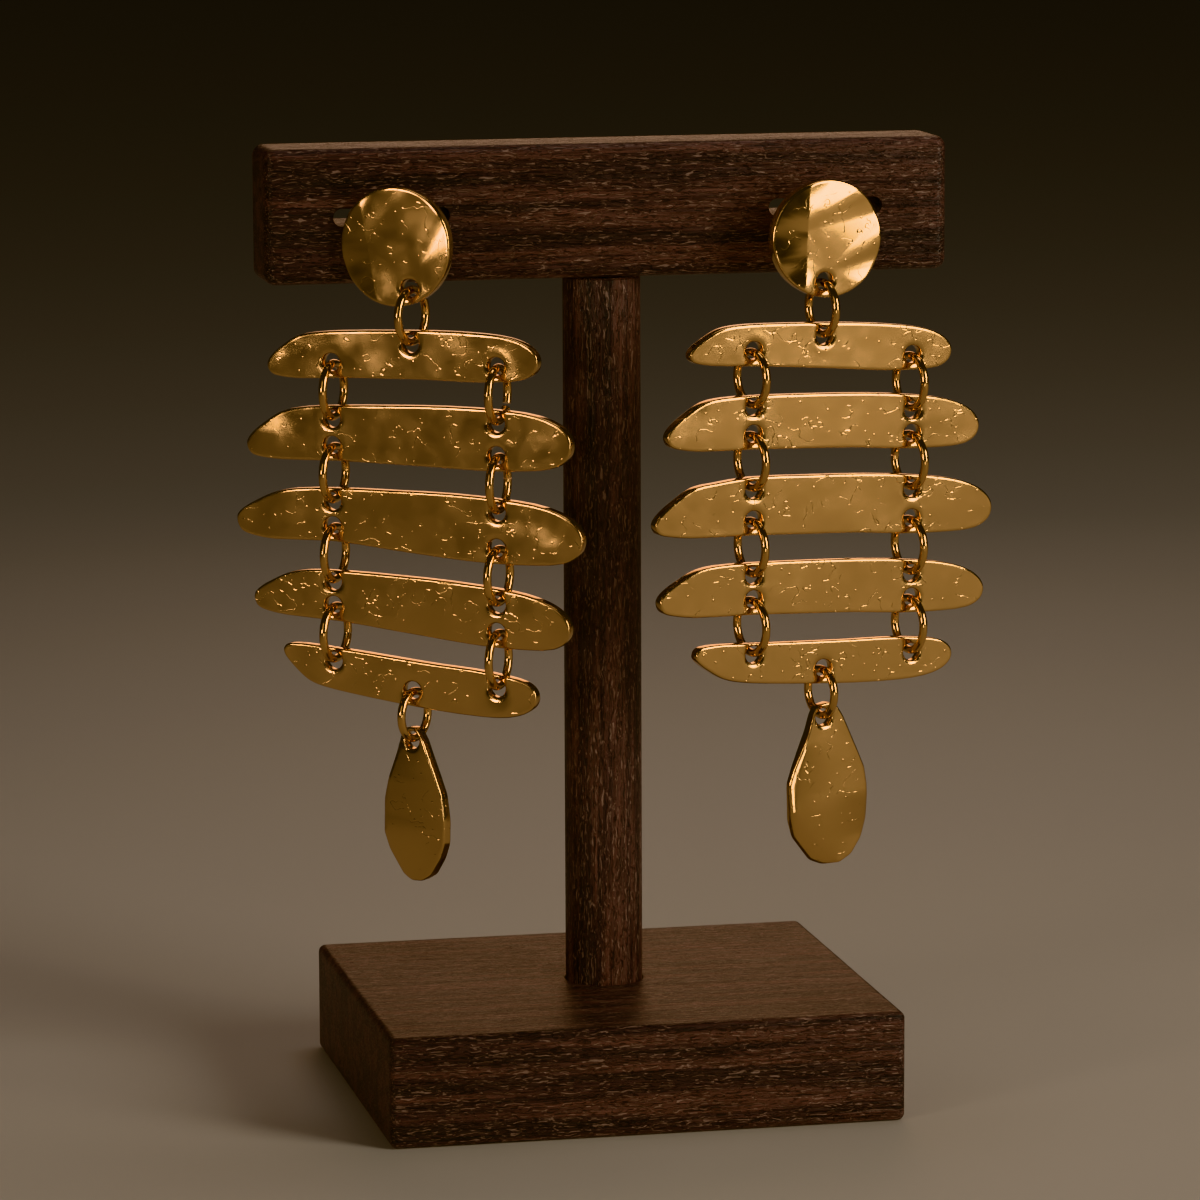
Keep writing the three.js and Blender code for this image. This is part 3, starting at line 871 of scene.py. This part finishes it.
def livelier_ends(outline, calm):
    """Liveliness from calm in the middle of a bar to 1 at its ends."""
    low, high = outline[:, 0].min(), outline[:, 0].max()

    def liveliness(points):
        share = np.abs(2 * (points[:, 0] - low) / (high - low) - 1)
        rise = np.clip((share - 0.35) / 0.5, 0, 1)
        return calm + (1 - calm) * rise**2 * (3 - 2 * rise)

    return liveliness


def hammered(obj, facing, settings, seed):
    """Runs a plate through the hammering tree. The settings are in mm."""
    lengths = {name: value * MM for name, value in settings.items()}
    through_tree(obj, HAMMERING, {"Facing": facing, "Seed": seed, "Material": GOLD_SHEET, **lengths})


for node in BARS:
    side = node.split("_")[0]
    cut_outline, holes, thickness, axes = measured_plate(node)
    outline = softened(resampled(cut_outline, SPACING), BAR_SOFTENING)
    lively = livelier_ends(outline, BAR_CALM)
    bar = plate(f"{node}_hammered", outline, holes, thickness, axes, liveliness=lively)
    hammered(bar, axes[3], HAMMER[side], SEEDS[node])
    finish(bar, GOLD_SHEET, [node], BODY_OF[node])

# %% [markdown]
# A drop was cut with a few straight strokes and then filed along its front edges, which left
# flat facets. Each facet is a plane: it looks outwards in one direction, starts a given way in
# from the drop's farthest point that way, and falls at a slope. The lowest plane wins.

# %% Drops
DROP_SOFTENING = 0.3
DROP_HAMMER = {"Wave Width": 7, "Wave Height": 0.15, "Dent Width": 2.2, "Dent Height": 0.05}
DROP_SEED = 40
CREASE_SPACING = 0.25
FACETS = {
    "left": [
        {"towards": 175, "in": 1.2, "slope": 0.45},
        {"towards": 215, "in": 1.6, "slope": 0.4},
        {"towards": 155, "in": 1.2, "slope": 0.36},
    ],
    "right": [
        {"towards": 170, "in": 1.4, "slope": 0.5},
        {"towards": 222, "in": 2.6, "slope": 0.34},
        {"towards": -8, "in": 0.8, "slope": 0.55},
    ],
}


def facet_relief(outline, facets):
    """How deep the facets cut the front, and the crease that each one starts from."""
    planes = []
    for facet in facets:
        angle = math.radians(facet["towards"])
        out = np.array([math.cos(angle), math.sin(angle)])
        planes.append((out, (outline @ out).max() - facet["in"], facet["slope"]))

    def relief(points):
        depths = [slope * np.clip(points @ out - start, 0, None) for out, start, slope in planes]
        return np.column_stack([np.max(depths, axis=0), np.zeros(len(points))])

    creases = []
    for out, start, _ in planes:
        along = np.array([-out[1], out[0]])
        reach = (outline @ along).min(), (outline @ along).max()
        steps = np.arange(*reach, CREASE_SPACING)
        creases.append(start * out + steps[:, None] * along)
    return relief, creases


for side in SIDES:
    node = f"{side}_drop"
    cut_outline, holes, thickness, axes = measured_plate(node)
    outline = softened(resampled(cut_outline, 0.8 * SPACING), DROP_SOFTENING)
    relief, creases = facet_relief(outline, FACETS[side])
    drop = plate(f"{node}_filed", outline, holes, thickness, axes, relief, creases)
    hammered(drop, axes[3], DROP_HAMMER, DROP_SEED)
    finish(drop, GOLD_SHEET, [node], BODY_OF[node])

# %% [markdown]
# The studs are round plates that were bent a little along one line, like a leaf along its rib,
# and dented more than the bars. The ear post is soldered to the back, with a small fillet of
# solder round its foot, and its tip is rounded so that it goes through the ear easily.

# %% Studs
FOLDS = {
    "left": {"across": -3.9, "lean": 10, "slope": 0.13, "softness": 0.3},
    "right": {"across": -3.2, "lean": -3, "slope": 0.22, "softness": 0.06},
}
STUD_HAMMER = {"Wave Width": 4.2, "Wave Height": 0.5, "Dent Width": 1.8, "Dent Height": 0.05}
STUD_SEEDS = {"left": 60, "right": 65}
FOLD_REACH = 8  # mm to each side of the stud's middle
FOLD_ROWS = (-0.15, 0, 0.15)
EAR_POST_SIDES = 32
ARC_POINTS = 7  # along a quarter circle of the fillet or the tip
FILLET = 0.35  # mm of solder round the ear post's foot
SUNK = 0.3  # how far the ear post's foot goes into the plate, so that no gap shows


def fold_relief(centre, fold, bend_back):
    """Bends the plate's left part back along a line. The back face follows if there is room."""
    angle = math.radians(fold["lean"])
    out = np.array([-math.cos(angle), -math.sin(angle)])
    start = centre @ out - fold["across"]

    def relief(points):
        past = points @ out - start
        soft = fold["softness"]
        depth = fold["slope"] * soft * np.logaddexp(0, past / soft)
        return np.column_stack([depth, depth if bend_back else np.zeros(len(points))])

    along = np.array([-out[1], out[0]])
    steps = np.arange(-FOLD_REACH, FOLD_REACH, CREASE_SPACING)
    middle = centre @ along
    rows = [(start + gap) * out + (middle + steps)[:, None] * along for gap in FOLD_ROWS]
    return relief, rows


def ear_post(node, thickness, axes):
    """The ear post of a stud, from its solder fillet to its rounded tip."""
    mesh = merged_copy(node)
    back = -Vector(axes[3])
    far = max(v.co.dot(back) for v in mesh.verts)
    tip = [v.co.copy() for v in mesh.verts if v.co.dot(back) > far - 0.01 * MM]
    mesh.free()
    centre = sum(tip, Vector()) / len(tip)
    radius = max((point - centre).length for point in tip)
    length = far - Vector(axes[0] * MM).dot(back) - thickness / 2 * MM
    foot = centre - back * length
    arc = [math.pi / 2 * i / (ARC_POINTS - 1) for i in range(ARC_POINTS)]
    solder = FILLET * MM
    root = [(0, -SUNK * MM), (radius + solder, -SUNK * MM)]
    fillet = [(radius + solder * (1 - math.sin(a)), solder * (1 - math.cos(a))) for a in arc]
    cap = [(radius * math.cos(a), length - radius * (1 - math.sin(a))) for a in arc]
    return lathe(f"{node}_post", root + fillet + cap, foot, back, EAR_POST_SIDES)


for side in SIDES:
    node = f"{side}_stud"
    cut_outline, holes, thickness, axes = measured_plate(node)
    centre = (cut_outline.min(0) + cut_outline.max(0)) / 2
    radius = np.ptp(cut_outline, axis=0).max() / 2
    outline = ring_of((*centre, radius), 0)
    relief, creases = fold_relief(centre, FOLDS[side], bend_back=side == "right")
    stud = plate(f"{node}_hammered", outline, holes, thickness, axes, relief, creases)
    hammered(stud, axes[3], STUD_HAMMER, STUD_SEEDS[side])
    pin = ear_post(node, thickness, axes)
    pin.data.shade_smooth()
    with bpy.context.temp_override(active_object=stud, selected_editable_objects=[stud, pin]):
        bpy.ops.object.join()
    finish(stud, GOLD_SHEET, [node], BODY_OF[node])

# %% [markdown]
# A jump ring is a turn of wire whose two cut ends are pushed together. All the rings of one body
# come from one Geometry Nodes tree. Its input is a cloud of points, one for each ring, that
# carries the ring's size and turn. The tree puts an open arc on each point, scaled to the
# ring's radius, and only then sweeps the wire's section along it, so that every ring has the
# same wire whatever its size.

# %% The jump ring tree
ARC_STEPS = 64
WIRE_STEPS = 20
CLOSED_SEAM = 1.2  # degrees between the ends of a closed ring
OPEN_SEAM = 11  # one ring was left a little open


def ring_tree():
    """Arcs on a cloud of points, swept into wire rings."""
    tree = bpy.data.node_groups.new("jump rings", "GeometryNodeTree")
    tree.interface.new_socket("Geometry", in_out="INPUT", socket_type="NodeSocketGeometry")
    tree.interface.new_socket("Wire", in_out="INPUT", socket_type="NodeSocketFloat")
    tree.interface.new_socket("Material", in_out="INPUT", socket_type="NodeSocketMaterial")
    tree.interface.new_socket("Geometry", in_out="OUTPUT", socket_type="NodeSocketGeometry")
    given = add(tree, "NodeGroupInput").outputs

    def carried(name, kind):
        node = add(tree, "GeometryNodeInputNamedAttribute", {"Name": name}, data_type=kind)
        return node.outputs["Attribute"]

    arcs = add(tree, "GeometryNodeGeometryToInstance")
    for seam in (OPEN_SEAM, CLOSED_SEAM):  # the last one linked comes first
        sweep = {"Resolution": ARC_STEPS, "Radius": 1.0, "Sweep Angle": math.radians(360 - seam)}
        arc = add(tree, "GeometryNodeCurveArc", {**sweep, "Start Angle": math.radians(seam / 2)})
        tree.links.new(arc.outputs[0], arcs.inputs[0])
    turn = add(tree, "FunctionNodeEulerToRotation", {0: carried("turn", "FLOAT_VECTOR")})
    placed = add(
        tree,
        "GeometryNodeInstanceOnPoints",
        {
            "Points": given["Geometry"],
            "Instance": arcs.outputs[0],
            "Pick Instance": True,
            "Instance Index": carried("opened", "INT"),
            "Rotation": turn.outputs[0],
            "Scale": carried("size", "FLOAT_VECTOR"),
        },
    )
    lines = add(tree, "GeometryNodeRealizeInstances", {"Geometry": placed.outputs[0]})
    half = add(tree, "ShaderNodeMath", {0: given["Wire"], 1: 0.5}, operation="MULTIPLY")
    section = add(
        tree, "GeometryNodeCurvePrimitiveCircle", {"Resolution": WIRE_STEPS, "Radius": half.outputs[0]}
    )
    swept = add(
        tree,
        "GeometryNodeCurveToMesh",
        {"Curve": lines.outputs[0], "Profile Curve": section.outputs[0], "Fill Caps": True},
    )
    smooth = add(tree, "GeometryNodeSetShadeSmooth", {"Geometry": swept.outputs[0]})
    realized = add(tree, "GeometryNodeRealizeInstances", {"Geometry": smooth.outputs[0]})
    finished = add(
        tree, "GeometryNodeSetMaterial", {"Geometry": realized.outputs[0], "Material": given["Material"]}
    )
    add(tree, "NodeGroupOutput", {"Geometry": finished.outputs[0]})
    return tree


RINGS = ring_tree()

# %% [markdown]
# A packed ring's points give its middle, its axis and its size. The axis is the direction in
# which the points spread least. The seams are turned to the back, where a maker hides them.

# %% Jump rings
SEAM_PLACES = (205, 160, 230, 185, 140, 215, 170, 195, 150)  # degrees round a ring from its front
OPENED = "left_ring_1_right"
OPENED_SEAM = 150
PACKED_WIRE_SIDES = 6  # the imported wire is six-sided, with two flats across the ring's axis


def measured_ring(node):
    """Middle, axis, outer radius and wire of a packed ring, in metres."""
    points = np.array([v.co for v in nodes[node].data.vertices])
    middle = (points.min(0) + points.max(0)) / 2
    offsets = points - middle
    axis = np.linalg.svd(offsets, full_matrices=False)[2][2]
    along = offsets @ axis
    wire = np.ptp(along) / math.cos(math.pi / PACKED_WIRE_SIDES)
    outer = np.linalg.norm(offsets - along[:, None] * axis, axis=1).max()
    return Vector(middle), Vector(axis), outer, wire


def ring_points(name, ring_nodes):
    """The cloud of points that the tree puts rings on."""
    rows = []
    for i, node in enumerate(ring_nodes):
        middle, axis, outer, wire = measured_ring(node)
        if axis.x < 0:
            axis = -axis
        front = -NORTH + axis * axis.dot(NORTH)
        front.normalize()
        seam = OPENED_SEAM if node == OPENED else SEAM_PLACES[i % len(SEAM_PLACES)]
        facing_front = Matrix((front, axis.cross(front), axis)).transposed()
        turn = facing_front @ Matrix.Rotation(math.radians(seam), 3, "Z")
        rows.append((middle, turn.to_euler(), outer - wire / 2, wire, int(node == OPENED)))
    data = bpy.data.meshes.new(name)
    data.from_pydata([row[0] for row in rows], [], [])
    for label, kind, key, values in (
        ("turn", "FLOAT_VECTOR", "vector", [angle for row in rows for angle in row[1]]),
        ("size", "FLOAT_VECTOR", "vector", [size for row in rows for size in (row[2],) * 3]),
        ("opened", "INT", "value", [row[4] for row in rows]),
    ):
        data.attributes.new(label, kind, "POINT").data.foreach_set(key, values)
    return object_from(name, data), rows[0][3]


for body in frame["bodies"]:
    ring_nodes = sorted(node for node, rides in BODY_OF.items() if rides == body and "_ring_" in node)
    if not ring_nodes:
        continue
    rings, wire = ring_points(f"{body}_rings", ring_nodes)
    through_tree(rings, RINGS, {"Wire": wire, "Material": GOLD_WIRE})
    print(body, "rings:", len(ring_nodes), "wire", round(wire / MM, 2), "mm")
    finish(rings, GOLD_WIRE, ring_nodes, body)

# %% [markdown]
# The set is a plain pale floor and soft studio light. Polished metal shows its surroundings more
# than itself, so the lamps are panels. The main one stands high at the right, which leaves the
# left faces of the stand dark, and its pool of light on the floor is what the right earring
# mirrors. The left earring mirrors the dimmer floor on its own side. Three small low panels give
# the studs and the right drop's left facet something bright to mirror, with so small a spread
# that the floor stays as it is. A warm panel behind gives the top faces their sheen and the
# drilled holes their bright crescents.

# %% Floor and light
FLOOR_SIZE = 8  # metres


def panel(name, place, target, width, power, colour, spread=180):
    """A square lamp that looks at a point. Lengths are in mm. A small spread in degrees keeps its
    light off the floor near it."""
    light = bpy.data.lights.new(name, "AREA")
    light.size = width * MM
    light.spread = math.radians(spread)
    light.energy = power
    light.color = linear(colour)[:3]
    obj = bpy.data.objects.new(name, light)
    bpy.context.scene.collection.objects.link(obj)
    aim = (Vector(target) - Vector(place)).to_track_quat("-Z", "Y")
    obj.matrix_world = Matrix.Translation(Vector(place) * MM) @ aim.to_matrix().to_4x4()


bpy.ops.mesh.primitive_plane_add(size=FLOOR_SIZE)
floor = bpy.context.object
floor.name = "floor"
paper, tree, shader, place = new_material("matt pale paper")
shader.inputs["Base Color"].default_value = linear("#CFC9C0")
shader.inputs["Roughness"].default_value = 0.8
floor.data.materials.append(paper)
floor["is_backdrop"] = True

MIDDLE = (0, 0, 75)
panel("key", (800, -740, 560), MIDDLE, 450, 5.2, "#FFF1DC")
panel("low right", (429, -459, 146), MIDDLE, 140, 0.055, "#FFF1DC", 60)
panel("low left", (-513, -366, 151), MIDDLE, 120, 0.06, "#FFE9D0", 60)
panel("fill", (-500, -600, 420), MIDDLE, 400, 0.35, "#FFE9D0")
panel("low front", (-19, -460, 38), (28, -13, 40), 70, 0.01, "#FFF1DC", 60)
panel("top", (100, 120, 640), MIDDLE, 300, 0.5, "#FFEDE2")
panel("rim", (150, 620, 260), MIDDLE, 300, 0.05, "#FFCCA6", 60)
world = bpy.data.worlds.new("studio")
world.use_nodes = True
world.node_tree.nodes["Background"].inputs["Color"].default_value = linear("#C9C2B8")
world.node_tree.nodes["Background"].inputs["Strength"].default_value = 0.042
bpy.context.scene.world = world
bpy.context.scene.view_settings.view_transform = "Khronos PBR Neutral"

# %% [markdown]
# Last, the box of the dressed model is printed beside the box of the imported one.

# %% Print the sizes
boxes = {"cad": [list(corner) for corner in cad_box], "visual": [list(corner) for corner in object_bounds()]}
for label, box in boxes.items():
    print(label, "box in mm:", [[round(v / MM, 2) for v in corner] for corner in box])
